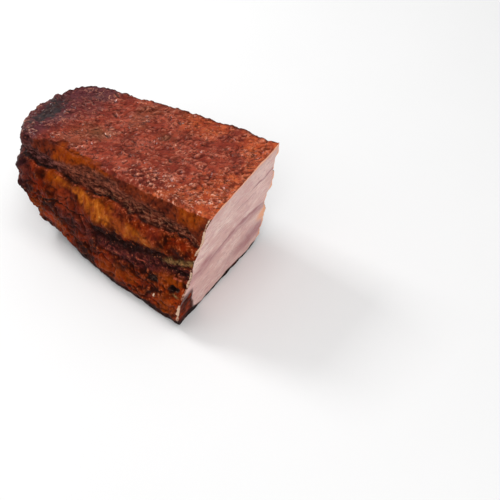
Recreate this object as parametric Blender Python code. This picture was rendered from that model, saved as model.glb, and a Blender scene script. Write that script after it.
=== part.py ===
"""A block of cured, smoked pork belly: rind on top, one flat cut end, one rounded end.

The block is one solid. A cube is sliced into a lattice, and each point of the lattice is carried to its place on
the meat: +X runs along the slab to the cut, -Y is the front side, +Z is up to the rind. Metres throughout.
"""

import bmesh
import bpy
from mathutils import Vector, noise

# The cut end, which has the full height
RIND_WIDTH = 0.077
FRONT_HEIGHT = 0.077
BACK_HEIGHT = 0.0805
FRONT_LEAN = 0.025  # how far the foot of the front side stands out beyond the rind
BACK_LEAN = 0.013  # how far the foot of the back side stands in under the rind
CUT_SLOPE = 0.124  # the foot of the cut lies this share of the depth nearer the far end
CUT_SKEW = 0.07  # the back edge of the cut lies this share of the width nearer the far end

# The far end, where the slab thins out and rounds over
LENGTH = 0.166
FAR_FRONT_HEIGHT = 0.071
FAR_BACK_HEIGHT = 0.060
FAR_FRONT_LEAN = 0.015
FAR_BACK_LEAN = 0.001
FAR_SPREAD = 0.004  # how far each side swings out there, before the plan closes
ROUND_LENGTH = 0.132  # the stretch over which the plan closes to the far end
PLAN_ROUND = 0.2
BACK_CORNER_ROUND = 0.09  # extra rounding at the back corner of the plan
END_TUCK = 0.5  # how strongly the foot of the far end runs in under it
FRONT_TUCK = 0.013  # how far the foot of the front side runs in there
FRONT_BULGE = 0.003  # how far it stands out halfway along
WALL_BELLY = 0.17  # how much the sides swell between rind and foot, as a share of their lean

# Layers of fat and lean that stand out or sink in round the sides: height share, half height share, depth at the
# cut end, depth at the far end
LAYERS = (
    (0.79, 0.045, -0.0018, -0.0042),
    (0.62, 0.070, 0.0012, 0.0014),
    (0.47, 0.055, -0.0016, 0.0010),
    (0.22, 0.120, 0.0014, -0.0018),
)
EDGE_SHARE = 0.05  # the height share over which the rind edge and the foot round off
EDGE_PULL = 0.0015

# Unevenness
LAYER_BEND = 0.03  # how far the layers rise and fall along the slab, as a height share
LAYER_BEND_SIZE = 0.05
CREASE_SIZE = 0.024
CREASE_DEPTH = 0.0016
CREASE_FLATNESS = 2.2  # creases run level, so many times longer than high
LUMP_SIZE = 0.010
LUMP_DEPTH = 0.0009
BLISTER_SIZE = 0.0070
BLISTER_HEIGHT = 0.0015
RIND_WAVE_SIZE = 0.035
RIND_WAVE_HEIGHT = 0.0012
CUT_RIPPLE_DEPTH = 0.0004

# Lattice cells along, across and up
CELLS = (56, 25, 26)

SMOKED_COLOUR = (0.62, 0.22, 0.10, 1.0)


def clear_scene():
    for obj in list(bpy.data.objects):
        bpy.data.objects.remove(obj)


def mix(low, high, share):
    return low + (high - low) * share


def lattice_cube():
    """A unit cube, sliced into CELLS, with the underside left as one face."""
    mesh = bmesh.new()
    bmesh.ops.create_cube(mesh, size=1)
    bmesh.ops.translate(mesh, vec=(0.5, 0.5, 0.5), verts=mesh.verts)
    for axis, cells in enumerate(CELLS):
        normal = Vector.Fill(3)
        normal[axis] = 1
        for cut in range(1, cells):
            everything = mesh.verts[:] + mesh.edges[:] + mesh.faces[:]
            bmesh.ops.bisect_plane(mesh, geom=everything, plane_co=normal * cut / cells, plane_no=normal)
    mesh.normal_update()
    underside = [face for face in mesh.faces if face.normal.z < -0.9]
    bmesh.ops.dissolve_faces(mesh, faces=underside)
    return mesh


def layer_relief(height, length_share):
    """How far the side stands out at this height share, from the layers of fat and lean."""
    relief = 0
    for middle, half, at_cut, at_far_end in LAYERS:
        offset = (height - middle) / half
        relief += mix(at_far_end, at_cut, length_share) / (1 + offset**4)
    for edge in (0, 1):
        nearness = 1 - abs(height - edge) / EDGE_SHARE
        relief -= EDGE_PULL * max(nearness, 0) ** 2
    return relief


def side_relief(place, height, length_share):
    """The layers, bent up and down a little along the slab, with creases and lumps over them."""
    bend = LAYER_BEND * noise.noise(Vector((place.x, place.y, 0)) / LAYER_BEND_SIZE)
    level = Vector((place.x, place.y, place.z * CREASE_FLATNESS))
    creases = noise.noise(level / CREASE_SIZE) * CREASE_DEPTH
    lumps = noise.noise(place / LUMP_SIZE) * LUMP_DEPTH
    return layer_relief(height + bend, length_share) + creases + lumps


def rind_relief(place):
    """Blisters over the rind, on slow waves."""
    nearest = noise.voronoi(Vector((place.x, place.y, 0)) / BLISTER_SIZE)[0][0]
    waves = noise.noise(Vector((place.x, place.y, 0)) / RIND_WAVE_SIZE)
    return (0.5 - nearest) * BLISTER_HEIGHT + waves * RIND_WAVE_HEIGHT


def rounded(value, other, at_back, tuck=0):
    """One plan coordinate of a square, pulled in where the other is large, which turns the square's corners round."""
    corner = BACK_CORNER_ROUND * other**8 if at_back else 0
    return value * ((1 - PLAN_ROUND * other**2 - corner) * (1 - tuck)) ** 0.5


def meat_point(along, across, height):
    """The smooth block. along: 0 far end to 1 cut. across: -1 front to 1 back. height: 0 foot to 1 rind."""
    depth = 1 - height
    x = along * LENGTH
    end = max(0, 1 - x / ROUND_LENGTH)
    at_back = across > 0
    x += ROUND_LENGTH * (end - rounded(end, across, at_back, END_TUCK * depth**3))
    across = rounded(across, end, at_back)
    length_share = x / LENGTH

    front_lean = mix(FAR_FRONT_LEAN, FRONT_LEAN, length_share)
    front_swell = 1 + 4 * WALL_BELLY * height
    front_tuck = FRONT_TUCK * (1 - length_share) * depth**3
    front_bulge = 4 * FRONT_BULGE * length_share * (1 - length_share) * depth
    back_lean = mix(FAR_BACK_LEAN, BACK_LEAN, length_share)
    half_width = RIND_WIDTH / 2 + FAR_SPREAD * (1 - length_share) ** 2
    front = -half_width - front_lean * depth * front_swell + front_tuck - front_bulge
    back = half_width - back_lean * depth

    back_share = (across + 1) / 2
    front_top = mix(FAR_FRONT_HEIGHT, FRONT_HEIGHT, length_share)
    back_top = mix(FAR_BACK_HEIGHT, BACK_HEIGHT, length_share)
    top = mix(front_top, back_top, back_share)
    sloped = CUT_SLOPE * top * depth + CUT_SKEW * RIND_WIDTH * back_share
    return Vector((x - sloped * length_share, mix(front, back, back_share), top * height)), length_share


def outward(place, length_share):
    """The level direction from the middle of the slab out through a place near its side."""
    spine_start = ROUND_LENGTH / 2
    spine_y = -FRONT_LEAN / 3 * length_share
    return Vector((min(place.x - spine_start, 0), place.y - spine_y, 0)).normalized()


def shaped_point(along, across, height):
    across = 2 * across - 1
    place, length_share = meat_point(along, across, height)
    end = max(0, 1 - along * LENGTH / ROUND_LENGTH)
    at_side = max(abs(across), end) ** 4
    shaped = place + outward(place, length_share) * at_side * side_relief(place, height, length_share)
    if height == 1:
        shaped.z += rind_relief(place)
    if along == 1:
        ripple = Vector((0, place.y, place.z * CREASE_FLATNESS)) / LUMP_SIZE
        shaped.x += CUT_RIPPLE_DEPTH * noise.noise(ripple)
    return shaped


def cured_meat():
    material = bpy.data.materials.new("smoked_pork")
    material.diffuse_color = SMOKED_COLOUR
    material.use_nodes = True
    surface = material.node_tree.nodes["Principled BSDF"]
    surface.inputs["Base Color"].default_value = SMOKED_COLOUR
    surface.inputs["Roughness"].default_value = 0.4
    surface.inputs["Metallic"].default_value = 0
    return material


def centre_on_footprint(mesh):
    """Sets the origin under the middle of the block."""
    xs = [vertex.co.x for vertex in mesh.verts]
    ys = [vertex.co.y for vertex in mesh.verts]
    middle = Vector((min(xs) + max(xs), min(ys) + max(ys), 0)) / 2
    bmesh.ops.translate(mesh, vec=-middle, verts=mesh.verts)


def pork_belly():
    mesh = lattice_cube()
    for vertex in mesh.verts:
        vertex.co = shaped_point(*(round(value, 6) for value in vertex.co))
    centre_on_footprint(mesh)
    bmesh.ops.triangulate(mesh, faces=mesh.faces)
    bmesh.ops.recalc_face_normals(mesh, faces=mesh.faces)
    data = bpy.data.meshes.new("pork_belly")
    mesh.to_mesh(data)
    mesh.free()
    data.materials.append(cured_meat())
    obj = bpy.data.objects.new("pork_belly", data)
    bpy.context.collection.objects.link(obj)
    return obj


clear_scene()
pork_belly()
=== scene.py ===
import math

import bpy
import numpy as np
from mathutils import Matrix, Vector, noise


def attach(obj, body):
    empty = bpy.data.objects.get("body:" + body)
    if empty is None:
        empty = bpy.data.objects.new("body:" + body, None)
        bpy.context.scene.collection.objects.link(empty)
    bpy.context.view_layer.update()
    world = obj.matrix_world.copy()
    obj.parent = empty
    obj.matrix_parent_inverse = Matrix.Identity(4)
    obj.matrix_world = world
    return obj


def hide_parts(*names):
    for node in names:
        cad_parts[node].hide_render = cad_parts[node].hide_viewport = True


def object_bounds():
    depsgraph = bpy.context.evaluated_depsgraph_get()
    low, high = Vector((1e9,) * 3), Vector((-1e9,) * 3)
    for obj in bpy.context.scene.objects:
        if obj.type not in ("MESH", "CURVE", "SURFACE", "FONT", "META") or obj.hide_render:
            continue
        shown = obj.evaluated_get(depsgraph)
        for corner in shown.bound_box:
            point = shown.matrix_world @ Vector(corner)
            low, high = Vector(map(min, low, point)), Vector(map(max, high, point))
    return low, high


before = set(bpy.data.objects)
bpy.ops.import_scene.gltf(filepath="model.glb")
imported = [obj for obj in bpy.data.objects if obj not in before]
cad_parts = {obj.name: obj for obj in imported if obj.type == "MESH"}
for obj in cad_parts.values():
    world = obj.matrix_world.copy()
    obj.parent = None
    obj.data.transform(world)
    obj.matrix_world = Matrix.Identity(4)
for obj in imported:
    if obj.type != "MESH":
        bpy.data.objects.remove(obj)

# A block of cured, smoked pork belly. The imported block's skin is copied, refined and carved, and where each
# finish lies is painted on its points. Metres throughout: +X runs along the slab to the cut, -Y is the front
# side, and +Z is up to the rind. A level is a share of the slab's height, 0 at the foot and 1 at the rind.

cad_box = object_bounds()

# Lines round the side of the slab, as (x, level)
GROOVE_TOP = ((-0.065, 0.88), (-0.036, 0.84), (-0.020, 0.88), (0.048, 0.88), (0.067, 0.83), (0.075, 0.81))
GROOVE_FOOT = (
    (-0.069, 0.745),
    (-0.045, 0.755),
    (-0.020, 0.767),
    (0.013, 0.758),
    (0.054, 0.743),
    (0.080, 0.738),
)
RIDGE_FOOT = (
    (-0.060, 0.62),
    (-0.047, 0.62),
    (-0.025, 0.67),
    (-0.011, 0.60),
    (0.003, 0.52),
    (0.023, 0.53),
    (0.035, 0.55),
    (0.047, 0.60),
    (0.056, 0.63),
    (0.080, 0.64),
)
LONG_CRACK = ((-0.050, 0.45), (-0.033, 0.535), (-0.026, 0.55), (-0.018, 0.53), (-0.010, 0.50))
LEAN_LINE = ((-0.020, 0.42), (-0.002, 0.42), (0.030, 0.41), (0.045, 0.44), (0.060, 0.50), (0.080, 0.51))
CREST = ((0.030, 0.42), (0.045, 0.43), (0.052, 0.44), (0.080, 0.44))

# How far up the smoke has darkened the groove, as (x, level), and how much, as (x, share)
SMOKE_TOP = (
    (-0.065, 0.88),
    (-0.036, 0.88),
    (-0.024, 0.93),
    (-0.018, 0.955),
    (0.005, 0.955),
    (0.015, 0.93),
    (0.022, 0.89),
    (0.048, 0.875),
    (0.067, 0.84),
    (0.080, 0.80),
)
SMOKE_DARKNESS = ((-0.070, 1.0), (-0.040, 0.95), (-0.025, 0.85), (0.020, 0.85), (0.040, 0.75), (0.080, 0.70))

# The golden part of the ridge, as (x, level, half its height as a level, strength)
GOLDEN_LINE = (
    (-0.060, 0.700, 0.030, 0.00),
    (-0.045, 0.715, 0.030, 0.15),
    (-0.030, 0.720, 0.028, 0.55),
    (-0.015, 0.715, 0.032, 0.80),
    (-0.006, 0.680, 0.055, 0.95),
    (0.004, 0.650, 0.080, 1.00),
    (0.020, 0.640, 0.080, 0.85),
    (0.030, 0.630, 0.065, 0.75),
    (0.045, 0.620, 0.048, 0.65),
    (0.055, 0.615, 0.033, 0.40),
    (0.064, 0.610, 0.020, 0.00),
)

# Small places on the front side, as (x, level, half width, half height)
DARK_PITS = (
    (0.0525, 0.335, 0.0040, 0.0021),
    (0.0674, 0.335, 0.0022, 0.0028),
    (0.0700, 0.345, 0.0030, 0.0012),
)
FAT_FLECK = (0.0548, 0.193, 0.0008, 0.0018)
TAN_STREAK = (0.0715, 0.290, 0.0034, 0.0011)

# Round places on the front side, as (x, level, radius)
RED_PATCHES = (
    (-0.024, 0.60, 0.009),
    (-0.006, 0.54, 0.008),
    (0.018, 0.72, 0.006),
    (0.024, 0.63, 0.005),
    (0.047, 0.68, 0.007),
)
GOLDEN_PATCHES = ((0.0645, 0.935, 0.0075), (0.0735, 0.930, 0.006))
AMBER_PATCHES = (
    (-0.034, 0.93, 0.006),
    (-0.020, 0.965, 0.006),
    (-0.009, 0.970, 0.007),
    (0.002, 0.965, 0.004),
    (-0.038, 0.70, 0.006),
    (-0.031, 0.70, 0.004),
    (-0.052, 0.30, 0.008),
    (-0.030, 0.26, 0.007),
    (0.010, 0.19, 0.005),
    (0.023, 0.21, 0.006),
    (0.035, 0.22, 0.005),
    (0.015, 0.14, 0.004),
    (0.060, 0.39, 0.006),
    (0.070, 0.41, 0.005),
    (0.065, 0.15, 0.009),
)

# The far front corner of the rind, as (x, y, radius), olive places on it, as (x, y, radius, strength), and
# dark slits in it, as (x, y, half length)
FAR_CORNER = (-0.074, -0.026, 0.020)
OLIVE_PATCHES = ((-0.025, 0.001, 0.011, 1.0), (0.012, 0.020, 0.008, 0.8))
RIND_SLITS = (
    (-0.0215, 0.0020, 0.0030),
    (-0.0330, 0.0235, 0.0030),
    (0.0300, 0.0015, 0.0026),
    (0.0105, 0.0195, 0.0014),
    (0.0095, 0.0370, 0.0024),
    (-0.0480, 0.0430, 0.0026),
)

# The cut's front and back edges, as (y at the rind, how far it shifts down to the foot)
CUT_FRONT = (-0.0250, -0.0245)
CUT_BACK = (0.0500, -0.0138)

# The lean seam through the cut, as (share of the width from the front, level)
LEAN_SEAM = (
    (0.0, 0.45),
    (0.20, 0.45),
    (0.35, 0.49),
    (0.45, 0.51),
    (0.55, 0.52),
    (0.65, 0.51),
    (0.80, 0.48),
    (1.0, 0.455),
)

# Directions of patterns in degrees, and the sizes of the rind's along the grain, across it and up
RIND_GRAIN = 36
SLIT_GRAIN = -28
WRINKLE_CLIMB = 20
LARGE_BLISTERS = np.array([0.0084, 0.0056, 0.0060])
SMALL_BLISTERS = np.array([0.0040, 0.0028, 0.0034])
RIND_FOLDS = np.array([0.0075, 0.0036, 0.0060])
RIND_WANDER = 0.0022
SLIT_HALF_WIDTH = 0.0007
LIP_DISTANCE = 0.0017
LIP_HALF_WIDTH = 0.0006

# How high or deep the carved forms are
LARGE_BLISTER_HEIGHT = 0.0012
SMALL_BLISTER_HEIGHT = 0.0007
FOLD_HEIGHT = 0.0002
FOLD_CREASE_DEPTH = 0.0005
SLIT_DEPTH = 0.0012
LIP_HEIGHT = 0.0005
GROOVE_DEPTH = 0.0008
GROOVE_CRACK_DEPTH = 0.0014
RIDGE_HEIGHT = 0.0012
RIB_HEIGHT = 0.0012
FIBRE_HEIGHT = 0.0008
UNDERCUT_DEPTH = 0.0020
LONG_CRACK_DEPTH = 0.0014
CREST_HEIGHT = 0.0008
PIT_DEPTH = 0.0020
PUFF_HEIGHT = 0.0034
WRINKLE_DEPTH = 0.0004
FINE_HEIGHT = 0.0005
LUMP_HEIGHT = 0.0009
CUT_RIPPLE_HEIGHT = 0.0003
RIM_CRAG_HEIGHT = 0.0030
BACK_CRAG_HEIGHT = 0.0020
SHORE_DROP = 0.0014
FOOT_TUCK = 0.0040
UNDER_ARCH = 0.0022

# How the noise of rough surfaces falls off from one octave to the next
FALL_OFF = 0.8
OCTAVE_RATIO = 2.1


def smooth(low, high, value):
    """0 below low, 1 above high, and a soft step between them."""
    share = np.clip((value - low) / (high - low), 0, 1)
    return share * share * (3 - 2 * share)


def line_at(line, x, part=1):
    """One part of a line's stops, read at each x."""
    return np.interp(x, [stop[0] for stop in line], [stop[part] for stop in line])


def bell(offset, width):
    return np.exp(-((offset / width) ** 2))


def waves(places, size, shift=0.0):
    """Smooth noise from about -0.5 to 0.5, with bumps of that size."""
    return np.array([noise.noise(place) for place in (places / size + shift).tolist()])


def rough_waves(places, size, octaves, shift=0.0):
    shifted = (places / size + shift).tolist()
    return np.array([noise.fractal(place, FALL_OFF, OCTAVE_RATIO, octaves) for place in shifted])


def add_object(name, data):
    obj = bpy.data.objects.new(name, data)
    bpy.context.collection.objects.link(obj)
    return obj


def select_only(obj):
    bpy.ops.object.select_all(action="DESELECT")
    obj.select_set(True)
    bpy.context.view_layer.objects.active = obj


# The block's mesh ----------------------------------------------------

ZONES = range(4)
RIND, SIDE, CUT, UNDER = ZONES

# How squarely a face looks up, out of the cut or down to lie in each zone, and to lie there surely
RIND_FACING, CUT_FACING, UNDER_FACING = 0.3, 0.6, 0.9
SURELY_RIND, SURELY_CUT = 0.85, 0.93
SURE_REACH = 0.05  # how far up or along the slab such faces lie

RIND_LEVEL = 0.9715  # points above this level lie on the rind
CUT_REACH = 0.0014  # points this near its plane lie on the cut
FOOT_REACH = 0.0002
BROWN_SHARE = 0.88  # faces of the cut this brown take the smoked surface's finish
JOIN_DISTANCE = 1e-5
QUAD_ANGLE = 1.2
UNDER_SPACING = 0.006
CUT_CREASE = 1.0
RIM_CREASE = 0.3


def read(items, name, width):
    values = np.empty(len(items) * width)
    items.foreach_get(name, values)
    return values.reshape(-1, width) if width > 1 else values


def copy_of_the_block():
    """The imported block's skin as one joined mesh, mostly of quads."""
    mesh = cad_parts["pork_belly"].data.copy()
    mesh.name = "belly_block"
    mesh.materials.clear()
    block = add_object("belly_block", mesh)
    select_only(block)
    bpy.ops.mesh.customdata_custom_splitnormals_clear()
    bpy.ops.object.mode_set(mode="EDIT")
    bpy.ops.mesh.select_all(action="SELECT")
    bpy.ops.mesh.remove_doubles(threshold=JOIN_DISTANCE)
    bpy.ops.mesh.tris_convert_to_quads(face_threshold=QUAD_ANGLE, shape_threshold=QUAD_ANGLE)
    bpy.ops.object.mode_set(mode="OBJECT")
    return block


def rind_terms(x, y):
    return np.column_stack([np.ones_like(x), x, y, x * y])


def cut_terms(y, z):
    return np.column_stack([np.ones_like(y), y, z])


class BlockShape:
    """The heights of the rind and the plane of the cut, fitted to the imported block."""

    def __init__(self, mesh):
        centres = read(mesh.polygons, "center", 3)
        normals = read(mesh.polygons, "normal", 3)
        up = centres[(normals[:, 2] > SURELY_RIND) & (centres[:, 2] > SURE_REACH)]
        cut = centres[(normals[:, 0] > SURELY_CUT) & (centres[:, 0] > SURE_REACH)]
        self.rind = np.linalg.lstsq(rind_terms(up[:, 0], up[:, 1]), up[:, 2], rcond=None)[0]
        self.cut = np.linalg.lstsq(cut_terms(cut[:, 1], cut[:, 2]), cut[:, 0], rcond=None)[0]

    def rind_height(self, points):
        return rind_terms(points[:, 0], points[:, 1]) @ self.rind

    def level(self, points):
        return points[:, 2] / self.rind_height(points)

    def behind_cut(self, points):
        return cut_terms(points[:, 1], points[:, 2]) @ self.cut - points[:, 0]


def sort_faces(mesh, shape):
    """Gives each face its zone as its material number."""
    points = read(mesh.vertices, "co", 3)
    normals = read(mesh.polygons, "normal", 3)
    on_rind = shape.level(points) > RIND_LEVEL
    on_cut = np.abs(shape.behind_cut(points)) < CUT_REACH
    on_foot = points[:, 2] < FOOT_REACH
    for face, normal in zip(mesh.polygons, normals):
        corners = list(face.vertices)
        if on_foot[corners].all() and normal[2] < -UNDER_FACING:
            face.material_index = UNDER
        elif on_cut[corners].all() and normal[0] > CUT_FACING:
            face.material_index = CUT
        elif on_rind[corners].all() and normal[2] > RIND_FACING:
            face.material_index = RIND
        else:
            face.material_index = SIDE


def select_zone(block, zone):
    """Selects that zone's faces alone, in edit mode."""
    bpy.ops.mesh.select_all(action="DESELECT")
    block.active_material_index = zone
    bpy.ops.object.material_slot_select()


def edit_faces(block):
    select_only(block)
    bpy.ops.object.mode_set(mode="EDIT")
    bpy.ops.mesh.select_mode(type="FACE")


def lattice_underside(block):
    """Makes the underside one face, then slices it into a lattice."""
    edit_faces(block)
    select_zone(block, UNDER)
    bpy.ops.mesh.dissolve_faces()
    low, high = cad_box
    for axis in (0, 1):
        normal = [0, 0, 0]
        normal[axis] = 1
        cuts = int((high[axis] - low[axis]) / UNDER_SPACING)
        for cut in range(1, cuts):
            place = [0, 0, 0]
            place[axis] = low[axis] + cut * UNDER_SPACING
            select_zone(block, UNDER)
            bpy.ops.mesh.bisect(plane_co=place, plane_no=normal)
    bpy.ops.object.mode_set(mode="OBJECT")


def crease_rims(block):
    """Keeps the knife's edge crisp, and the rind's edge and the foot firm."""
    mesh = block.data
    zones = {}
    for face in mesh.polygons:
        for edge in face.edge_keys:
            zones.setdefault(edge, set()).add(face.material_index)
    crease = mesh.attributes.new("crease_edge", "FLOAT", "EDGE")
    for number, edge in enumerate(mesh.edges):
        between = zones[tuple(sorted(edge.vertices))]
        if len(between) > 1:
            crease.data[number].value = CUT_CREASE if CUT in between else RIM_CREASE


def refine(block, levels):
    modifier = block.modifiers.new("Subdivision", "SUBSURF")
    modifier.levels = modifier.render_levels = levels
    select_only(block)
    bpy.ops.object.modifier_apply(modifier=modifier.name)


# Carving -------------------------------------------------------------


class Skin:
    """The block's points with what carving and colouring need to know of each."""

    def __init__(self, mesh, shape):
        self.mesh = mesh
        self.points = read(mesh.vertices, "co", 3)
        self.normals = read(mesh.vertices, "normal", 3)
        self.edges = read(mesh.edges, "vertices", 2).astype(int)
        self.x, self.y, self.z = self.points.T
        self.behind = shape.behind_cut(self.points)
        self.level = shape.level(self.points)
        self.height = shape.rind_height(self.points)
        self.zones = self.zone_shares()
        self.front = smooth(0.004, 0.018, -self.y)
        bend = waves(self.points, size=0.014) * 0.024 + waves(self.points, size=0.005, shift=7) * 0.014
        self.bent = self.level + bend
        self.groove_top = line_at(GROOVE_TOP, self.x)
        self.groove_foot = line_at(GROOVE_FOOT, self.x)
        self.ridge_foot = line_at(RIDGE_FOOT, self.x)
        self.shore = smooth(-0.060, -0.044, self.x) * (1 - smooth(-0.030, 0.020, self.x))

    def zone_shares(self):
        """For each zone, the share of the faces round each point that lie in it."""
        corners = read(self.mesh.loops, "vertex_index", 1).astype(int)
        counts = read(self.mesh.polygons, "loop_total", 1).astype(int)
        face_zones = read(self.mesh.polygons, "material_index", 1).astype(int)
        corner_zones = np.repeat(face_zones, counts)
        total = np.bincount(corners, minlength=len(self.points))
        return [
            np.bincount(corners, weights=corner_zones == zone, minlength=len(self.points)) / total
            for zone in ZONES
        ]

    def spread(self, values, rounds):
        """Blurs values over the skin, from point to neighbouring point."""
        first, second = self.edges.T
        count = np.bincount(self.edges.ravel(), minlength=len(values))
        for _ in range(rounds):
            summed = np.bincount(first, values[second], len(values))
            summed += np.bincount(second, values[first], len(values))
            values = (values + summed / count) / 2
        return values

    def round_place(self, x, level, half_width, half_height=None):
        """A round soft spot on the front side."""
        along = (self.x - x) / half_width
        up = (self.bent - level) * self.height / (half_height or half_width)
        return bell(np.hypot(along, up), 1) * self.front

    def round_places(self, places):
        return sum(self.round_place(*place) for place in places)

    def rind_place(self, x, y, radius):
        return bell(np.hypot(self.x - x, self.y - y), radius)

    def paint(self, name, values):
        attribute = self.mesh.attributes.new(name, "FLOAT", "POINT")
        attribute.data.foreach_set("value", np.asarray(values, np.float32))


def turned(first, second, degrees):
    """Two coordinates as seen by a pattern that is turned by that angle."""
    turn = math.radians(degrees)
    return first * math.cos(turn) + second * math.sin(turn), second * math.cos(turn) - first * math.sin(turn)


def cells(places, size, shift=0.0):
    """For each place, how far its nearest cell's middle is, and two lucky numbers of that cell."""
    found = np.empty((len(places), 3))
    for number, place in enumerate((places / size + shift).tolist()):
        distances, middles = noise.voronoi(place)
        found[number] = distances[0], abs(noise.cell(middles[0] * 7.3)), abs(noise.cell(middles[0] * 3.1))
    return found.T


def blisters(places, size, shift=0.0):
    """Domes, burst blisters with a raised ring, and bare places between them."""
    nearest, kind, luck = cells(places, size, shift)
    radius = 0.30 + 0.22 * luck
    dome = np.maximum(0, 1 - (nearest / radius) ** 2) - 0.35 * bell(nearest - 1.1 * radius, 0.25 * radius)
    ring = bell(nearest - 0.75 * radius, 0.25 * radius) - 0.5 * bell(nearest, 0.45 * radius)
    return np.where(kind < 0.5, dome, np.where(kind < 0.8, ring, 0)) * (0.5 + 0.5 * luck)


def carve_rind(skin):
    """The rind's relief, and where its folds are creased and slit."""
    grain = np.column_stack([*turned(skin.x, skin.y, RIND_GRAIN), skin.z])
    drift = [waves(grain, size=0.008, shift=shift) for shift in (3, 11)]
    places = grain * (1, 1, 0.3) + np.column_stack([*drift, np.zeros(len(grain))]) * RIND_WANDER
    blistered = waves(places, size=0.018, shift=5) + 6 * (0.02 - skin.y) * smooth(0.0, 0.06, skin.x)
    rough = 0.60 + 0.40 * smooth(-0.25, 0.15, blistered)
    large = blisters(places, LARGE_BLISTERS) * rough
    small = blisters(places, SMALL_BLISTERS, shift=31) * (0.4 + 0.6 * rough)
    folds = rough_waves(places, RIND_FOLDS, octaves=3)
    creases = bell(folds, 0.14) * smooth(-0.15, 0.25, waves(places, size=0.009, shift=29))
    slits = lips = np.zeros(len(grain))
    for x, y, half_length in RIND_SLITS:
        along, across = turned(skin.x - x, skin.y - y, SLIT_GRAIN)
        lip = bell(np.abs(across) - LIP_DISTANCE, LIP_HALF_WIDTH)
        slits = np.maximum(slits, bell(along, half_length) * bell(across, SLIT_HALF_WIDTH))
        lips = np.maximum(lips, bell(along, 0.9 * half_length) * lip)
    relief = (
        LARGE_BLISTER_HEIGHT * large
        + SMALL_BLISTER_HEIGHT * small
        + FOLD_HEIGHT * folds
        - FOLD_CREASE_DEPTH * creases
        - SLIT_DEPTH * slits
        + LIP_HEIGHT * lips
    )
    return relief, creases, slits


def carve_side(skin):
    """The relief of the sides, and where they are undercut, crested, wrinkled and holed."""
    level = skin.bent
    groove = smooth(skin.groove_foot - 0.010, skin.groove_foot + 0.016, level)
    groove *= 1 - smooth(skin.groove_top - 0.05, skin.groove_top + 0.01, level)
    crack = bell(level - skin.groove_foot - 0.006, 0.008)
    crack *= np.clip(0.5 + 1.5 * waves(skin.points, size=0.012, shift=83), 0, 1)
    ridge = smooth(skin.ridge_foot - 0.015, skin.ridge_foot + 0.05, level)
    ridge *= 1 - smooth(skin.groove_foot - 0.02, skin.groove_foot + 0.008, level)
    under_ridge = smooth(-0.010, 0.004, skin.x) * (1 - smooth(0.050, 0.066, skin.x))
    undercut = under_ridge * bell(level - skin.ridge_foot + 0.056, 0.052)
    long_crack = bell(level - line_at(LONG_CRACK, skin.x), 0.010) * skin.front
    long_crack *= smooth(-0.055, -0.045, skin.x) * (1 - smooth(-0.018, -0.008, skin.x))
    crest = bell(level - line_at(CREST, skin.x), 0.012) * smooth(0.030, 0.045, skin.x) * skin.front
    crest *= smooth(-0.2, 0.2, waves(skin.points, size=0.007, shift=115))
    pits = skin.round_places(DARK_PITS)
    ribs = waves(skin.points * (1, 1, 0.22), size=0.0045, shift=5)
    fibres = waves(skin.points * (0.4, 0.4, 1), size=0.0022, shift=13)
    bend = np.column_stack([waves(skin.points, size=0.010, shift=shift) for shift in (61, 67, 73)]) * 0.006
    x, y, z = (skin.points + bend).T
    along, up = turned(x, z, WRINKLE_CLIMB)
    climbing = np.column_stack([along, y, up]) * (0.65, 1, 1.35)
    sag = rough_waves(climbing, size=0.0130, octaves=3, shift=19)
    wrinkles = bell(sag, 0.07) * smooth(-0.2, 0.2, waves(skin.points, size=0.015, shift=97))
    puffs = np.minimum(np.abs(sag), 0.4)
    fine = rough_waves(skin.points, size=0.0040, octaves=3, shift=23)
    below = 1 - smooth(skin.ridge_foot - 0.05, skin.ridge_foot, level)
    puffed = (0.3 + 0.7 * below) * smooth(0.0, 0.15, level)
    relief = (
        -GROOVE_DEPTH * groove
        - GROOVE_CRACK_DEPTH * crack
        + ridge * (RIDGE_HEIGHT + RIB_HEIGHT * ribs)
        + groove * FIBRE_HEIGHT * fibres
        - UNDERCUT_DEPTH * undercut
        - LONG_CRACK_DEPTH * long_crack
        + CREST_HEIGHT * crest
        - PIT_DEPTH * pits
        + puffed * (PUFF_HEIGHT * puffs - WRINKLE_DEPTH * wrinkles)
        + FINE_HEIGHT * fine
    )
    return relief, {
        "undercut": undercut,
        "crest": crest,
        "wrinkles": np.clip(wrinkles * (0.35 + 0.65 * below) + long_crack, 0, 1),
        "holes": np.clip(1.7 * pits + 0.8 * long_crack + 0.9 * crack, 0, 1),
    }


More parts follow.
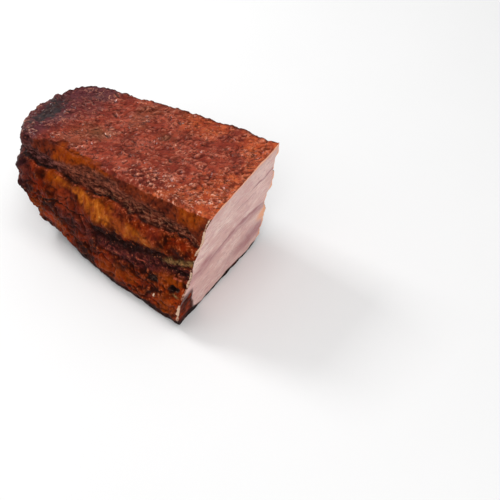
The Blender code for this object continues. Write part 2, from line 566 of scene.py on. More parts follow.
def carve(skin):
    """Moves the points, and says where the skin is now raised, sunk, creased and pitted."""
    rind = skin.spread(skin.zones[RIND], rounds=3)
    side = skin.spread(skin.zones[SIDE] + skin.zones[UNDER], rounds=2)
    under = smooth(0.5, 1.0, skin.spread(skin.zones[UNDER], rounds=4))
    rind_relief, creases, slits = carve_rind(skin)
    side_relief, found = carve_side(skin)
    lumps = rough_waves(skin.points, size=0.0065, octaves=3, shift=87)
    lumps *= smooth(-0.05, 0.20, skin.level) * LUMP_HEIGHT
    crags = np.abs(rough_waves(skin.points, size=0.0080, octaves=2, shift=105)) - 0.27
    craggy_rim = 4 * rind * side * (0.15 + 0.85 * (1 - smooth(-0.072, -0.045, skin.x)))
    craggy_back = side * (1 - under) * (1 - skin.front) * (1 - 0.6 * smooth(0.86, 0.95, skin.level))
    depth = rind * (rind_relief + 0.4 * lumps) + side * (1 - under) * (side_relief + lumps)
    depth += craggy_rim * RIM_CRAG_HEIGHT * crags + craggy_back * BACK_CRAG_HEIGHT * crags
    depth -= SHORE_DROP * rind * skin.shore * smooth(-0.015, -0.025, skin.y)
    depth += skin.zones[CUT] * CUT_RIPPLE_HEIGHT * waves(skin.points * (1, 0.35, 1), size=0.0022, shift=9)
    local = depth - skin.spread(depth, rounds=8)
    tuck = bell(skin.x + 0.042, 0.024) * (1 - smooth(0.0, 0.40, skin.level)) * skin.front
    arch = np.maximum(0, rough_waves(skin.points, size=0.012, octaves=3, shift=41) + 0.15)
    moved = skin.points + skin.normals * depth[:, None]
    moved[:, 1] += FOOT_TUCK * tuck
    moved[:, 2] += UNDER_ARCH * under * arch
    moved[:, 2] = np.maximum(moved[:, 2], 0)
    skin.mesh.vertices.foreach_set("co", moved.ravel())
    skin.mesh.update()
    found["raised"] = smooth(0.00006, 0.00032, local) * (1 - under)
    found["sunk"] = smooth(0.00004, 0.00030, -local) * (1 - under)
    found["under"] = under
    found["crease"] = np.clip(rind * creases + side * found["wrinkles"], 0, 1)
    found["back_rim"] = np.clip(5 * rind * skin.spread(side, rounds=6), 0, 1) * smooth(0.02, 0.03, skin.y)
    found["pit"] = np.clip(rind * slits + side * found["holes"], 0, 1)
    return found


# Colouring -----------------------------------------------------------


def stain_fat(skin, patchy, climbing):
    """The layers of fat round the side, their warm patches, and what is broken off along the cut."""
    level, x, front = skin.bent, skin.x, skin.front
    strip = smooth(skin.groove_top - 0.03, skin.groove_top + 0.02, level)
    middle, width, strength = (line_at(GOLDEN_LINE, x, part) for part in (1, 2, 3))
    golden = bell(level - middle, width) * strength * (1 + 0.4 * patchy)
    broken_up = 0.55 * smooth(-0.5, 0.5, patchy + 0.3)
    golden *= broken_up + (1 - broken_up) * front
    golden += 0.15 * skin.round_places(GOLDEN_PATCHES)
    amber = skin.round_places((*AMBER_PATCHES, *GOLDEN_PATCHES))
    amber += (1 - front) * smooth(0.1, 0.6, patchy) * (0.4 + 0.4 * strip)
    amber += 0.6 * climbing * strip * smooth(-0.046, -0.034, x)
    pale = bell(level - 0.555 - 4.2 * (x - 0.061), 0.032) * smooth(0.050, 0.064, x) * front
    pale += 0.9 * skin.round_place(*TAN_STREAK)
    low = smooth(-0.1, 0.6, patchy) + 0.6 * smooth(0.040, 0.060, x) * front
    broken = waves(skin.points, size=0.013, shift=91) + 0.6 * waves(skin.points, size=0.004, shift=95)
    thick = bell(level - 0.12, 0.06) + bell(level - 0.86, 0.05) + 0.6 * bell(level - 0.95, 0.04)
    chips = bell(skin.behind, 0.0011) * (0.42 + 0.55 * smooth(-0.25, 0.35, broken) + 0.5 * thick) * front
    chips += skin.round_place(*FAT_FLECK) + bell(skin.behind, 0.0013) * bell(level - 0.20, 0.06) * front
    return {
        "strip": strip,
        "golden": golden,
        "amber": amber,
        "red": skin.round_places(RED_PATCHES),
        "pale": pale,
        "low": (1 - smooth(0.30, 0.45, level)) * low,
        "chips": chips * (1 - skin.zones[CUT]),
    }


def stain_lean(skin, found, broad, far):
    """The lean round the side, what the smoke has blackened, painted shade at the foot, under the ridge and
    in the groove's crack, and painted highlight along the crest.
    """
    level, x, front = skin.bent, skin.x, skin.front
    above_groove = level - skin.groove_foot
    lean = bell(level - line_at(LEAN_LINE, x), 0.08) * smooth(-0.03, 0.01, x + 0.02 * broad)
    smoke = smooth(-0.012, 0.016, above_groove) * (1 - smooth(-0.03, 0.02, level - line_at(SMOKE_TOP, x)))
    # painted shade in the groove's crack, with soot towards the far end
    crack_shade_and_soot = bell(above_groove - 0.008, 0.016) * (0.3 + 0.7 * (1 - smooth(-0.055, -0.035, x)))
    # painted shade: near-black along the foot and under the ridge
    foot_shade_height = 0.13 + 0.13 * bell(x + 0.050, 0.030) * front
    black = np.maximum(found["undercut"], 0.95 * (1 - smooth(0.02, foot_shade_height, level)) * (1 - found["under"]))
    black = np.maximum(black, crack_shade_and_soot)
    black = np.maximum(black, 0.8 * bell(level - 0.500, 0.028) * smooth(0.050, 0.062, x) * front)
    # painted highlight along the lower lip of the groove's crack
    lip = bell(above_groove + 0.013, 0.010) * smooth(-0.25, 0.25, waves(skin.points, size=0.006, shift=99))
    threads = 0.55 * bell(x - 0.036, 0.012) * bell(level - 0.43, 0.045)
    threads *= smooth(0.0, 0.25, waves(skin.points, size=0.004, shift=107))
    return {
        "lean": lean + 0.6 * far,
        "dusty": bell(x + 0.018, 0.026) * bell(level - 0.43, 0.10) * front,
        "char": smoke * line_at(SMOKE_DARKNESS, x),
        "tarry": 1 - smooth(-0.060, -0.010, x + 0.02 * broad),
        "tan": bell(above_groove - 0.035, 0.040) * smooth(-0.025, 0.010, x) * front,
        "black": black,
        "crest": np.maximum(found["crest"], 0.8 * lip * (1 - far)) + threads,
    }


def stain_rind(skin, found, broad, far, climbing):
    """The rind's tones, its soot, and where it catches the light."""
    x, y = skin.x, skin.y
    rind = smooth(0.950, 0.985, skin.level + 0.3 * (skin.bent - skin.level)) * (1 - skin.zones[CUT])
    rind *= 1 - climbing
    far_corner = skin.rind_place(*FAR_CORNER)
    soot = smooth(0.9, 1.0, skin.level) * bell(x + 0.0750 + 0.014 * broad, 0.0095) * bell(y - 0.002, 0.019)
    olive = sum(strength * skin.rind_place(*place) for *place, strength in OLIVE_PATCHES)
    glow = (1 - smooth(0.0, 0.035, skin.behind)) + 0.6 * smooth(0.02, 0.045, y) * (1 - far) + 0.9 * broad
    glow += 0.4 * smooth(0.005, 0.022, -y) * smooth(-0.03, 0.02, x)
    soot = np.maximum(soot, 0.45 * far_corner)
    front_half = smooth(0.0, 0.022, -y)
    glints = 0.55 + 0.45 * smooth(-0.005, 0.020, -y) * smooth(-0.03, 0.03, x) - 0.15 * soot
    glints += 0.5 * front_half * smooth(0.02, 0.06, x) - 0.3 * far * smooth(0.0, 0.02, y)
    sparkle = front_half * smooth(0.015, 0.060, x) + 0.6 * far_corner
    return {
        "rind": rind,
        "glow": glow,
        "purple": 1 - smooth(-0.080, -0.036, x + 0.02 * broad - 0.1 * y) + 0.5 * far_corner,
        "olive": rind * olive,
        "soot": soot,
        "raised": np.clip(found["raised"] * glints, 0, 1),
        "sparkle": found["raised"] * np.clip(sparkle, 0, 1),
    }


def stain(skin, found):
    """Where each finish lies over the skin, from 0 to 1."""
    broad = waves(skin.points, size=0.030, shift=51)
    patchy = rough_waves(skin.points, size=0.013, octaves=3, shift=57)
    far = 1 - smooth(-0.078, -0.044, skin.x + 0.015 * broad)
    shore = (0.0050 + 0.008 * waves(skin.points, size=0.008, shift=119)) * skin.shore
    over_the_edge = 1 - smooth(shore - 0.0030, shore + 0.0030, skin.y + 0.0255)
    climbing = np.where(skin.level > 0.97, over_the_edge, 1.0) * skin.shore
    return {
        "sunk": found["sunk"],
        # painted shade in the creases and wrinkles, and a line of it along the rind's back rim
        "crease": np.maximum(found["crease"], 1.6 * found["back_rim"]),
        "pit": found["pit"],
        "far": far,
        **stain_fat(skin, patchy, climbing),
        **stain_lean(skin, found, broad, far),
        **stain_rind(skin, found, broad, far, climbing),
    }


def streaks(skin):
    """Lean through the cut's fat, the browned line round its edge, and a dark brown corner at its foot."""
    down = 1 - skin.level
    front = CUT_FRONT[0] + CUT_FRONT[1] * down
    back = CUT_BACK[0] + CUT_BACK[1] * down
    across = np.clip((skin.y - front) / (back - front), 0, 1)
    level = skin.level + 0.03 * waves(skin.points, size=0.014, shift=71)
    level += 0.010 * waves(skin.points, size=0.005, shift=77)
    from_seam = level - line_at(LEAN_SEAM, across)
    strength = np.clip(0.6 + 1.6 * waves(skin.points, size=0.012, shift=33), 0.15, 1)
    lean = bell(from_seam, 0.010 + 0.006 * strength) * strength * (0.4 + 0.6 * smooth(0.2, 0.5, across))
    lean += 0.25 * smooth(0.70, 0.85, level)
    lean += 0.55 * bell(from_seam + 0.04, 0.045)
    lean += 0.8 * bell(np.hypot((across - 0.15) / 0.14, (level - 0.50) / 0.05), 1)
    falling = level + 0.05 * across
    upper_line = smooth(0.35, 0.5, across) * (1 - smooth(0.7, 0.85, across))
    lean += bell(falling - 0.81, 0.010) * smooth(0.55, 0.8, across)
    lean += 0.7 * bell(falling - 0.74, 0.009) * upper_line
    lean += (0.2 + 0.3 * smooth(0.3, 0.8, across)) * bell(level - 0.17, 0.09)
    lean += 0.4 * bell(np.hypot((across - 0.95) / 0.30, (level - 0.22) / 0.14), 1)
    browned = bell(np.hypot((across - 1.02) / 0.10, (level - 0.32) / 0.07), 1)
    rim = skin.spread(1.0 - skin.zones[CUT], rounds=4)
    rim *= 0.5 + 0.9 * smooth(0.9, 1.0, across)
    rim += smooth(0.972, 0.990, skin.level) + 0.3 * smooth(0.75, 1.0, skin.level) * smooth(0.4, 1.0, across)
    skin_top = 0.035 + 0.32 * bell(across, 0.11)
    skin_top += 0.12 * waves(skin.points, size=0.007, shift=45) * bell(across, 0.25)
    return {
        "streak": np.clip(lean, 0, 1),
        "smoked_edge": np.clip(rim + 0.8 * browned, 0, 1),
        "brown_corner": 1 - smooth(0.6, 1.2, level / skin_top),
    }


def colour(red, green, blue):
    """A colour as seen on a screen, 0 to 255, in the renderer's own scale."""
    parts = []
    for part in (red, green, blue):
        part /= 255
        parts.append(part / 12.92 if part <= 0.04045 else ((part + 0.055) / 1.055) ** 2.4)
    return (*parts, 1.0)


class Recipe:
    """A material and short ways to add its nodes. Each returns the socket to use next."""

    def __init__(self, name):
        self.material = bpy.data.materials.new(name)
        self.material.use_nodes = True
        self.tree = self.material.node_tree
        self.surface = self.tree.nodes["Principled BSDF"]
        self.places = self.node("ShaderNodeTexCoord").outputs["Object"]

    def node(self, kind, **settings):
        node = self.tree.nodes.new(kind)
        for name, value in settings.items():
            setattr(node, name, value)
        return node

    def feed(self, socket, value):
        if isinstance(value, bpy.types.NodeSocket):
            self.tree.links.new(value, socket)
        else:
            socket.default_value = value

    def fill(self, node, values):
        """Sets or links a node's inputs by name."""
        for name, value in values.items():
            self.feed(node.inputs[name], value)

    def painted(self, name):
        return self.node("ShaderNodeAttribute", attribute_name=name).outputs["Fac"]

    def laid_out(self, stretch, turn=0, tilt=0):
        places = self.node("ShaderNodeMapping", vector_type="TEXTURE")
        rotation = (0, -math.radians(tilt), math.radians(turn))
        self.fill(places, {"Vector": self.places, "Rotation": rotation, "Scale": stretch})
        return places.outputs["Vector"]

    def speckle(self, size, detail=3.0, roughness=0.55, stretch=(1, 1, 1), turn=0, tilt=0, warp=0.0):
        """Noise from 0 to 1 with spots of that size, longer along the axes that are stretched."""
        texture = self.node("ShaderNodeTexNoise")
        self.fill(texture, {"Vector": self.laid_out(stretch, turn, tilt), "Scale": 1 / size})
        self.fill(texture, {"Detail": detail, "Roughness": roughness, "Distortion": warp})
        return texture.outputs["Fac"]

    def wandering(self, size, stretch, turn):
        """Object places, bent a little so that round marks of that size come out uneven."""
        bend = self.node("ShaderNodeTexNoise")
        self.fill(bend, {"Vector": self.places, "Scale": 1 / size})
        bent = self.node("ShaderNodeVectorMath", operation="MULTIPLY_ADD")
        self.feed(bent.inputs[0], bend.outputs["Color"])
        bent.inputs[1].default_value = (size * 0.9,) * 3
        self.feed(bent.inputs[2], self.laid_out(stretch, turn))
        return bent.outputs["Vector"]

    def sums(self, how, first, second=None, third=None):
        node = self.node("ShaderNodeMath", operation=how)
        for socket, value in zip(node.inputs, (first, second, third)):
            if value is not None:
                self.feed(socket, value)
        return node.outputs["Value"]

    def times(self, *shares):
        product = shares[0]
        for share in shares[1:]:
            product = self.sums("MULTIPLY", product, share)
        return product

    def step(self, value, low, high, bottom=0.0, top=1.0):
        node = self.node("ShaderNodeMapRange", interpolation_type="SMOOTHSTEP")
        self.fill(node, {"Value": value, "From Min": low, "From Max": high, "To Min": bottom, "To Max": top})
        return node.outputs["Result"]

    def ragged(self, name, grain, low=0.3, high=0.7, bite=0.8, most=1.0):
        """A painted finish with its edge broken up by a grain."""
        shifted = self.sums("MULTIPLY_ADD", self.sums("SUBTRACT", grain, 0.5), bite, self.painted(name))
        return self.step(shifted, low, high, top=most)

    def thread(self, grain, at, half, most=1.0):
        """Thin lines, drawn where a grain or a distance passes that value."""
        away = self.sums("ABSOLUTE", self.sums("SUBTRACT", grain, at))
        return self.step(away, half, 0.0, top=most)

    def over(self, under, top, *shares):
        """A colour laid over another by the product of the shares."""
        node = self.node("ShaderNodeMix", data_type="RGBA")
        self.feed(node.inputs["Factor"], self.times(*shares))
        self.feed(node.inputs[6], under)
        self.feed(node.inputs[7], top)
        return node.outputs[2]

    def layers(self, base, *layers):
        """Colours laid over a base in turn, each as (colour, share, share...)."""
        for top, *shares in layers:
            base = self.over(base, top, *shares)
        return base

    def bump(self, height, distance, normal=None):
        node = self.node("ShaderNodeBump")
        self.fill(node, {"Distance": distance, "Height": height})
        if normal is not None:
            self.feed(node.inputs["Normal"], normal)
        return node.outputs["Normal"]


FOLDED = (1.15, 1, 4)  # how the rind's painted marks are stretched along its grain, across it and up


class BlisterMarks:
    """Round blisters, some domed and some sunk. The share that shows is from 0 to 1."""

    def __init__(self, recipe, size, shown):
        texture = recipe.node("ShaderNodeTexVoronoi")
        recipe.fill(texture, {"Vector": recipe.wandering(size, FOLDED, RIND_GRAIN), "Scale": 1 / size})
        lucks = recipe.node("ShaderNodeSeparateColor")
        recipe.feed(lucks.inputs["Color"], texture.outputs["Color"])
        radius = recipe.step(lucks.outputs["Red"], 0.0, 1.0, bottom=0.16, top=0.38)
        self.recipe = recipe
        self.beyond = recipe.sums("SUBTRACT", texture.outputs["Distance"], radius)
        self.there = recipe.step(lucks.outputs["Green"], shown + 0.02, shown - 0.02)
        self.domed = recipe.step(lucks.outputs["Blue"], 0.4, 0.5, bottom=-0.5)

    def rims(self):
        return self.recipe.times(self.recipe.thread(self.beyond, 0.0, 0.08), self.there)

    def feet(self):
        return self.recipe.times(self.recipe.thread(self.beyond, 0.13, 0.09), self.there)

    def height(self):
        inside = self.recipe.times(self.recipe.step(self.beyond, 0.03, -0.06), self.there)
        filled = self.recipe.times(inside, self.domed)
        return self.recipe.sums("ADD", self.recipe.times(self.rims(), 0.7), filled)


class Grain:
    """The noises that the smoked skin's finishes share."""

    def __init__(self, recipe):
        self.broad = recipe.speckle(0.017, detail=2, stretch=(1.5, 1.5, 1))
        self.coarse = recipe.speckle(0.0080, stretch=(1.6, 1, 1), tilt=WRINKLE_CLIMB)
        self.middle = recipe.speckle(0.0038, detail=5, roughness=0.6, warp=0.4)
        self.fine = recipe.speckle(0.0013, detail=4, roughness=0.6)
        self.ribs = recipe.speckle(0.0034, detail=4, stretch=(1, 1, 2.5), warp=0.4)
        self.strands = recipe.speckle(0.0013, detail=5, roughness=0.7, stretch=(3, 3, 1), warp=0.4)
        self.wrinkles = recipe.speckle(0.0032, 2, 0.5, stretch=FOLDED, turn=RIND_GRAIN, warp=0.4)


RIND_BROWN = colour(122, 44, 31)
RIND_RED = colour(160, 65, 42)
RIND_TAN = colour(126, 66, 42)
RIND_SHADE = colour(82, 28, 21)
GLOW_BROWN = colour(158, 61, 32)
GLOW_ORANGE = colour(197, 93, 48)
PURPLE_SMOKE = colour(82, 40, 47)
OLIVE_SMOKE = colour(92, 66, 42)
BLISTER_TOP_HIGHLIGHT = colour(208, 128, 100)
BLISTER_HOLLOW_SHADE = colour(46, 15, 11)
BLISTER_RIM_HIGHLIGHT = colour(216, 144, 116)
BLISTER_FOOT_SHADE = colour(44, 13, 9)
FOLD_SHADE = colour(40, 12, 9)
FOLD_HIGHLIGHT = colour(208, 132, 102)
GLINT = colour(234, 176, 150)
SOOT = colour(37, 39, 41)
SPARKLE = colour(246, 190, 164)
RIND_CREASE_SHADE = colour(50, 16, 12)


def rind_finish(recipe, grain):
    over, ragged, step = recipe.over, recipe.ragged, recipe.step
    painted, thread = recipe.painted, recipe.thread
    marks = BlisterMarks(recipe, 0.0078, shown=0.5)
    blistered = step(grain.coarse, 0.40, 0.55)
    glow = over(GLOW_BROWN, GLOW_ORANGE, step(grain.middle, 0.38, 0.62))
    fold_shade_lines = thread(grain.wrinkles, 0.47, 0.021, most=0.9)
    fold_highlight_lines = thread(grain.wrinkles, 0.51, 0.012, most=0.45)
    return recipe.layers(
        over(RIND_BROWN, RIND_RED, step(grain.coarse, 0.36, 0.64)),
        (RIND_TAN, step(grain.broad, 0.52, 0.66, top=0.5)),
        (RIND_SHADE, step(grain.middle, 0.48, 0.34, top=0.7)),
        (glow, ragged("glow", grain.coarse, 0.35, 1.1, bite=1.6, most=0.82)),
        (PURPLE_SMOKE, ragged("purple", grain.coarse, 0.1, 0.85, most=0.88)),
        (OLIVE_SMOKE, ragged("olive", grain.middle, 0.3, 1.1, bite=1.4, most=0.6)),
        # painted highlight on the rind's raised places
        (BLISTER_TOP_HIGHLIGHT, painted("raised"), step(grain.middle, 0.42, 0.60, 0.05, 0.8)),
        # painted shade in the rind's sunk places
        (BLISTER_HOLLOW_SHADE, painted("sunk"), step(grain.middle, 0.35, 0.55, 0.25, 0.75)),
        # painted highlight along the blisters' rims
        (BLISTER_RIM_HIGHLIGHT, marks.rims(), step(grain.fine, 0.46, 0.56), blistered, 0.75),
        # painted shade round the feet of the blisters' rims
        (BLISTER_FOOT_SHADE, marks.feet(), step(grain.fine, 0.54, 0.42), blistered, 0.45),
        # painted shade in the rind's fold lines, then painted highlight beside them
        (FOLD_SHADE, fold_shade_lines, step(grain.coarse, 0.36, 0.54)),
        (FOLD_HIGHLIGHT, fold_highlight_lines, step(grain.coarse, 0.40, 0.56)),
        (GLINT, painted("raised"), step(grain.fine, 0.55, 0.66), 0.6),
        (SOOT, ragged("soot", grain.middle, 0.25, 0.75, bite=2.0, most=0.85)),
        (SPARKLE, painted("sparkle"), step(grain.fine, 0.50, 0.58), 0.7),
        # painted shade in the rind's creases and along its back rim
        (RIND_CREASE_SHADE, painted("crease"), 0.5),
    )


MEAT_BROWN = colour(46, 9, 2)
MEAT_RED = colour(118, 30, 1)
MEAT_SHADE = colour(38, 11, 7)
MEAT_ORANGE = colour(158, 52, 4)
MEAT_RAISED_HIGHLIGHT = colour(136, 54, 14)
MEAT_GRAIN = colour(40, 12, 7)
DUST_BROWN = colour(34, 12, 12)
DUST_PINK = colour(90, 38, 33)
LEAN_BROWN = colour(38, 14, 16)
LEAN_RED = colour(92, 36, 34)
LEAN_THREAD = colour(176, 90, 78)
FAR_BROWN = colour(46, 21, 24)
FAR_RED = colour(98, 44, 38)
STRIP_BROWN = colour(82, 28, 16)
STRIP_TAN = colour(116, 44, 19)
STRIP_SHADE = colour(60, 22, 18)
FAR_STRIP_BROWN = colour(40, 20, 24)
FAR_STRIP_RED = colour(84, 40, 38)
STRIP_GRAIN = colour(60, 22, 16)
AMBER_BROWN = colour(120, 42, 3)
AMBER = colour(148, 62, 4)
GOLD_BROWN = colour(134, 56, 12)
GOLD = colour(178, 93, 23)
GOLD_RIB = colour(212, 146, 76)
GOLD_SHADE = colour(112, 42, 16)
PATCH_BROWN = colour(88, 26, 16)
PATCH_RED = colour(136, 50, 24)
PALE_BROWN = colour(70, 46, 24)
PALE_TAN = colour(142, 108, 66)
GROOVE_BROWN = colour(62, 28, 22)
GROOVE_TAN = colour(144, 76, 56)
GROOVE_SHADE = colour(34, 17, 17)
GROOVE_THREAD = colour(176, 138, 104)
TAR = colour(32, 17, 20)
TAR_SHEEN = colour(124, 78, 80)
SCORCH_AND_SHADE = colour(24, 10, 10)
SCORCH_GLINT = colour(96, 72, 70)
CREST_HIGHLIGHT_AND_STRANDS = colour(184, 86, 62)
SIDE_GLINT = colour(206, 118, 78)
SIDE_SHADE = colour(28, 9, 6)
SIDE_CREASE_SHADE = colour(28, 8, 5)
FAT_CHIP = colour(218, 184, 158)


def side_finish(recipe, grain):
    """The smoked meat round the sides, the lean in it, and its layers of fat."""
    over, ragged, step = recipe.over, recipe.ragged, recipe.step
    painted, thread, layers = recipe.painted, recipe.thread, recipe.layers
    dust = over(DUST_BROWN, DUST_PINK, step(grain.middle, 0.38, 0.64))
    lean = layers(
        over(LEAN_BROWN, LEAN_RED, step(grain.strands, 0.38, 0.64)),
        (LEAN_THREAD, thread(grain.strands, 0.58, 0.016, most=0.75), step(grain.coarse, 0.46, 0.58)),
    )
    far = over(FAR_BROWN, FAR_RED, step(grain.coarse, 0.38, 0.62))
    far_strip = over(FAR_STRIP_BROWN, FAR_STRIP_RED, step(grain.middle, 0.4, 0.6))
    strip = layers(
        over(STRIP_BROWN, STRIP_TAN, step(grain.coarse, 0.38, 0.62)),
        (STRIP_SHADE, step(grain.middle, 0.48, 0.36, top=0.7)),
        (far_strip, step(painted("far"), 0.0, 0.6)),
        (STRIP_GRAIN, step(grain.fine, 0.46, 0.32, top=0.6)),
    )
    amber = over(AMBER_BROWN, AMBER, step(grain.ribs, 0.36, 0.64))
    golden = layers(
        over(GOLD_BROWN, GOLD, step(grain.ribs, 0.34, 0.60)),
        (GOLD_RIB, step(grain.ribs, 0.56, 0.72, top=0.8), step(grain.coarse, 0.45, 0.6)),
        (GOLD_SHADE, step(grain.coarse, 0.46, 0.34, top=0.7)),
    )
    red = over(PATCH_BROWN, PATCH_RED, step(grain.ribs, 0.38, 0.62))
    pale = over(PALE_BROWN, PALE_TAN, step(grain.strands, 0.38, 0.64))
    tarry = over(TAR, TAR_SHEEN, step(grain.strands, 0.42, 0.64))
    groove = layers(
        over(GROOVE_BROWN, GROOVE_TAN, step(grain.strands, 0.40, 0.62)),
        (GROOVE_SHADE, step(grain.coarse, 0.48, 0.34, top=0.6)),
        (GROOVE_THREAD, thread(grain.strands, 0.57, 0.022), step(painted("tan"), 0.0, 0.8, 0.15, 0.8)),
        (tarry, step(painted("tarry"), 0.0, 1.0, top=0.7)),
    )
    # painted grey-blue glints in the black
    black = over(SCORCH_AND_SHADE, SCORCH_GLINT, thread(grain.strands, 0.57, 0.014, most=0.6))
    cracks = thread(grain.middle, 0.46, 0.012, most=0.5)
    calm = step(painted("golden"), 0.2, 0.9, 1.0, 0.45)
    return layers(
        over(MEAT_BROWN, MEAT_RED, step(grain.coarse, 0.38, 0.62)),
        (MEAT_SHADE, step(grain.broad, 0.48, 0.36, top=0.6)),
        (MEAT_ORANGE, painted("low"), step(grain.coarse, 0.44, 0.66, 0.05, 0.75)),
        # painted highlight on the side's raised places
        (MEAT_RAISED_HIGHLIGHT, painted("raised"), 0.45),
        (MEAT_GRAIN, step(grain.fine, 0.48, 0.34, top=0.6)),
        (dust, ragged("dusty", grain.coarse, 0.1, 1.0, most=0.8)),
        (lean, ragged("lean", grain.middle, 0.2, 0.9, most=0.9)),
        (far, ragged("far", grain.middle, 0.1, 1.0, bite=0.7, most=0.85)),
        (strip, ragged("strip", grain.middle, bite=0.6)),
        (amber, ragged("amber", grain.middle, 0.1, 1.0, most=0.8)),
        (golden, ragged("golden", grain.coarse, 0.1, 0.85)),
        (red, ragged("red", grain.middle, 0.1, 1.0, bite=0.9, most=0.75)),
        (pale, ragged("pale", grain.middle, 0.15, 0.85, bite=0.7, most=0.9)),
        (groove, ragged("char", grain.middle, 0.0, 1.0, bite=1.0, most=0.95)),
        # near-black: painted shade along the foot, under the ridge and in the groove's crack, and
        # smoke-blackened places
        (black, ragged("black", grain.middle, 0.15, 0.85, most=0.9)),
        # painted highlight along the crest and the crack's lower lip, with red strands of lean
        (CREST_HIGHLIGHT_AND_STRANDS, ragged("crest", grain.fine, 0.45, 0.95, bite=1.4, most=0.75)),
        (SIDE_GLINT, painted("raised"), step(grain.fine, 0.54, 0.65), 0.5),
        (SIDE_SHADE, painted("sunk"), step(grain.fine, 0.35, 0.6, 0.4, 0.8), calm),
        (SIDE_SHADE, cracks, step(grain.coarse, 0.42, 0.58), calm),
        # painted shade in the side's wrinkles and cracks
        (SIDE_CREASE_SHADE, painted("crease"), 0.55),
        (FAT_CHIP, ragged("chips", grain.fine, 0.35, 0.65, most=0.9)),
    )


PIT_SHADE = colour(13, 9, 10)
PIT_THREAD = colour(96, 70, 58)


def smoked_surface():
    """One finish for the rind, the sides and the underside, so that they run into each other."""
    recipe = Recipe("smoked_surface")
    grain = Grain(recipe)
    step, painted = recipe.step, recipe.painted
    pits = recipe.over(PIT_SHADE, PIT_THREAD, step(grain.strands, 0.50, 0.64))
    skin = recipe.layers(
        side_finish(recipe, grain),
        (rind_finish(recipe, grain), recipe.ragged("rind", grain.middle, bite=0.6)),
        # painted shade inside the pits, slits and cracks, with lighter strands
        (pits, recipe.ragged("pit", grain.fine, 0.25, 0.9, bite=1.3, most=0.92)),
    )
    glossy_rind = step(painted("rind"), 0.2, 0.9, 0.06, 1.0)
    wet = recipe.times(step(grain.coarse, 0.45, 0.62, 0.08, 0.3), glossy_rind)
    large = BlisterMarks(recipe, 0.0054, shown=0.75).height()
    small = BlisterMarks(recipe, 0.0031, shown=0.55).height()
    rind_height = recipe.sums("ADD", large, recipe.times(small, 0.5))
    normal = recipe.bump(recipe.times(rind_height, painted("rind")), distance=0.0004)
    normal = recipe.bump(grain.middle, distance=0.0004, normal=normal)
    normal = recipe.bump(grain.fine, distance=0.00015, normal=normal)
    looks = {
        "Base Color": skin,
        "Roughness": step(grain.fine, 0.2, 0.8, 0.35, 0.6),
        "Specular IOR Level": 0.03,
        "Specular Tint": (1.0, 0.7, 0.6, 1.0),
        "Coat Weight": wet,
        "Coat Roughness": 0.12,
        "Normal": normal,
    }
    recipe.fill(recipe.surface, looks)
    return recipe.material


FAT_PINK = colour(224, 178, 169)
FAT_PALE = colour(242, 206, 195)
FAT_MOTTLE = colour(222, 170, 166)
FAT_DARK_LINE = colour(190, 140, 140)
FAT_LIGHT_LINE = colour(254, 238, 228)
FAT_THREAD = colour(150, 98, 102)
CUT_LEAN = colour(166, 98, 104)
CUT_EDGE = colour(246, 176, 134)
CORNER_BROWN = colour(26, 4, 0)
CORNER_RED = colour(104, 30, 6)


def cut_meat():
    recipe = Recipe("cut_fat_and_lean")
    over, ragged, step = recipe.over, recipe.ragged, recipe.step
    fine = recipe.speckle(0.0012, detail=4)
    drawn = recipe.speckle(0.0009, detail=5, roughness=0.65, stretch=(1, 9, 1), warp=0.2)
    cloud = recipe.speckle(0.010, stretch=(1, 2.5, 1))
    threads = recipe.speckle(0.0030, detail=4, roughness=0.6, stretch=(1, 9, 1), warp=0.3)
    mottle = recipe.speckle(0.0045, stretch=(1, 1.6, 1), warp=0.5)
    corner_brown = over(CORNER_BROWN, CORNER_RED, step(drawn, 0.40, 0.60))
    meat = recipe.layers(
        over(FAT_PINK, FAT_PALE, step(cloud, 0.38, 0.62)),
        (FAT_MOTTLE, step(mottle, 0.50, 0.36, top=0.7)),
        (FAT_DARK_LINE, step(drawn, 0.48, 0.36, top=0.55)),
        (FAT_LIGHT_LINE, step(drawn, 0.54, 0.66, top=0.6)),
        (FAT_THREAD, recipe.thread(threads, 0.46, 0.010, most=0.8), step(cloud, 0.42, 0.58)),
        (CUT_LEAN, ragged("streak", drawn, 0.1, 1.0, bite=0.9, most=0.85)),
        (CUT_EDGE, ragged("smoked_edge", fine, 0.12, 0.7, bite=0.5, most=0.95)),
        # dark brown towards the cut's lowest front corner
        (corner_brown, ragged("brown_corner", drawn, 0.3, 0.8, bite=0.7, most=0.95)),
    )
    looks = {
        "Base Color": meat,
        "Roughness": step(fine, 0.2, 0.8, 0.35, 0.55),
        "Specular IOR Level": 0.3,
        "Subsurface Weight": 0.12,
        "Subsurface Radius": (1.0, 0.45, 0.3),
        "Subsurface Scale": 0.002,
        "Normal": recipe.bump(recipe.sums("ADD", drawn, fine), distance=0.0004),
    }
    recipe.fill(recipe.surface, looks)
    return recipe.material


def sharpen_cut(block):
    edit_faces(block)
    select_zone(block, CUT)
    bpy.ops.mesh.region_to_loop()
    bpy.ops.mesh.mark_sharp()
    bpy.ops.object.mode_set(mode="OBJECT")


def wrap_corner(block, brown_corner):
    """Gives the smoked surface's finish to the cut's faces at its lowest front corner."""
    for face in block.data.polygons:
        if face.material_index == CUT and brown_corner[list(face.vertices)].mean() > BROWN_SHARE:
            face.material_index = SIDE


def make_block():
    block = copy_of_the_block()
    mesh = block.data
    shape = BlockShape(mesh)
    smoked, cut = smoked_surface(), cut_meat()
    for zone in ZONES:
        mesh.materials.append(cut if zone == CUT else smoked)
    sort_faces(mesh, shape)
    lattice_underside(block)
    crease_rims(block)
    refine(block, levels=2)
    skin = Skin(mesh, shape)
    found = carve(skin)
    stains = {**stain(skin, found), **streaks(skin)}
    for name, values in stains.items():
        skin.paint(name, values)
    sharpen_cut(block)
    wrap_corner(block, stains["brown_corner"])
    bpy.ops.object.shade_smooth()
    return block


# The stage -----------------------------------------------------------

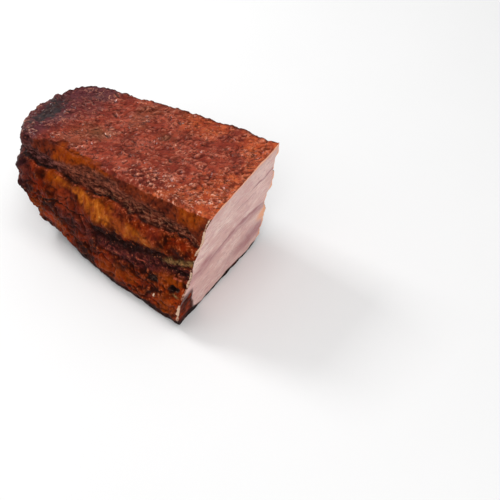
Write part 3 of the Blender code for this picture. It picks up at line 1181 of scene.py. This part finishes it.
CAMERA_TURN = math.radians(35.82)
CAMERA_RISE = math.radians(43.55)
CAMERA_DISTANCE = 0.8442
AIM = Vector((0.0695, 0.0300, 0.0))
LENS = 93.6
SENSOR = 36

# Each soft light: its name, place, size and power. All point at the middle of the block.
LIGHTS = (
    ("left_light", (-0.75, 0.05, 0.70), 0.30, 4.6),
    ("over_light", (0.00, 0.10, 0.85), 0.30, 0.9),
    ("front_light", (0.45, -0.55, 0.80), 0.40, 2.3),
)
BLOCK_MIDDLE = Vector((0, 0, 0.03))
ROOM_STRENGTH = 0.62
FLOOR_SIZE = 6


def place_camera():
    camera = add_object("camera", bpy.data.cameras.new("camera"))
    camera.data.lens = LENS
    camera.data.sensor_width = SENSOR
    camera.data.clip_start = 0.01
    level = math.cos(CAMERA_RISE)
    away = Vector((math.sin(CAMERA_TURN) * level, -math.cos(CAMERA_TURN) * level, math.sin(CAMERA_RISE)))
    camera.location = AIM + away * CAMERA_DISTANCE
    camera.rotation_euler = away.to_track_quat("Z", "Y").to_euler()
    bpy.context.scene.camera = camera


def place_lights():
    for name, place, size, power in LIGHTS:
        light = add_object(name, bpy.data.lights.new(name, "AREA"))
        light.data.shape = "SQUARE"
        light.data.size = size
        light.data.energy = power
        light.location = place
        light.rotation_euler = (Vector(place) - BLOCK_MIDDLE).to_track_quat("Z", "Y").to_euler()
    room = bpy.data.worlds.new("pale_room")
    room.use_nodes = True
    air = room.node_tree.nodes["Background"].inputs
    air["Color"].default_value = (1, 1, 1, 1)
    air["Strength"].default_value = ROOM_STRENGTH
    bpy.context.scene.world = room
    bpy.context.scene.view_settings.view_transform = "Standard"


def lay_floor():
    bpy.ops.object.select_all(action="DESELECT")
    bpy.ops.mesh.primitive_plane_add(size=FLOOR_SIZE)
    floor = bpy.context.object
    floor.name = "floor"
    paper = Recipe("pale_paper")
    tone = paper.over((0.86, 0.86, 0.86, 1), (0.90, 0.90, 0.90, 1), paper.speckle(0.2))
    paper.fill(paper.surface, {"Base Color": tone, "Roughness": 0.8})
    floor.data.materials.append(paper.material)


block = make_block()
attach(block, "root")
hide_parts("pork_belly")
place_camera()
place_lights()
lay_floor()
